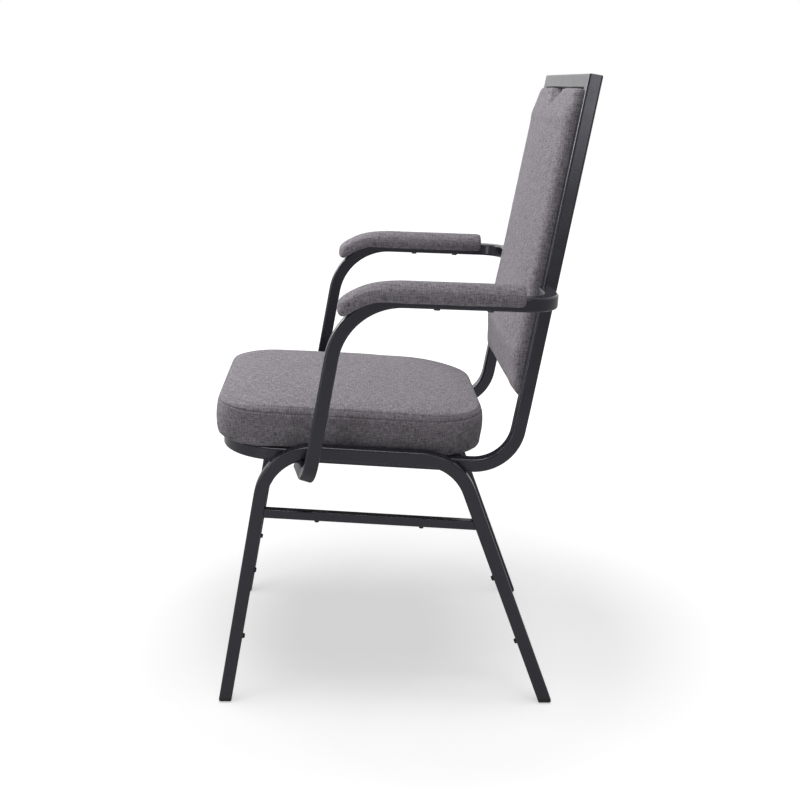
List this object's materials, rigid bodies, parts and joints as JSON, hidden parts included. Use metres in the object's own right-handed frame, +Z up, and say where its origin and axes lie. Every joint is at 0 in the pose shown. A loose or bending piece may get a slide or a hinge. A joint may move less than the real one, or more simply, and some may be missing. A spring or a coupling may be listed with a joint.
{
  "type": "conference chair",
  "caption": "Stacking conference chair with arms: bent square-tube steel frame, crowned fabric seat and back, padded armrests and floor glides.",
  "frame": {"origin": "on the floor, under the middle of the chair's outer box", "axes": "+Z up, +Y from the front of the seat to the back, +X to the sitter's left"},
  "size_m": [0.562, 0.5506, 0.953],
  "materials": {
    "fabric": "grey melange woven cloth",
    "frame_steel": "charcoal powder coat",
    "glide_plastic": "matt black",
    "button_plastic": "matt black",
    "base_plastic": "matt black",
    "plywood": "bare plywood",
    "zinc_steel": "zinc plated"
  },
  "bodies": {
    "root": {"arm_screws": "zinc_steel", "back_board": "plywood", "back_pad": "fabric", "back_rear_panel": "fabric", "back_screws": "zinc_steel", "back_tab_lower_left": "frame_steel", "back_tab_lower_right": "frame_steel", "back_tab_upper_left": "frame_steel", "back_tab_upper_right": "frame_steel", "front_cross_bar": "frame_steel", "front_hoop": "frame_steel", "front_left_glide": "glide_plastic", "front_left_lower_button": "button_plastic", "front_left_upper_button": "button_plastic", "front_right_glide": "glide_plastic", "front_right_lower_button": "button_plastic", "front_right_upper_button": "button_plastic", "left_arm_base": "base_plastic", "left_arm_pad": "fabric", "left_arm_tube": "frame_steel", "left_leg_frame": "frame_steel", "left_side_tube": "frame_steel", "left_stretcher": "frame_steel", "left_stretcher_front_button": "button_plastic", "left_stretcher_rear_button": "button_plastic", "rear_cross_bar": "frame_steel", "rear_left_glide": "glide_plastic", "rear_left_lower_button": "button_plastic", "rear_left_upper_button": "button_plastic", "rear_right_glide": "glide_plastic", "rear_right_lower_button": "button_plastic", "rear_right_upper_button": "button_plastic", "right_arm_base": "base_plastic", "right_arm_pad": "fabric", "right_arm_tube": "frame_steel", "right_leg_frame": "frame_steel", "right_side_tube": "frame_steel", "right_stretcher": "frame_steel", "right_stretcher_front_button": "button_plastic", "right_stretcher_rear_button": "button_plastic", "seat_board": "plywood", "seat_bolts": "zinc_steel", "seat_cushion": "fabric", "seat_tee_nuts": "zinc_steel", "seat_washers": "zinc_steel", "top_rail": "frame_steel"}
  },
  "joints": []
}
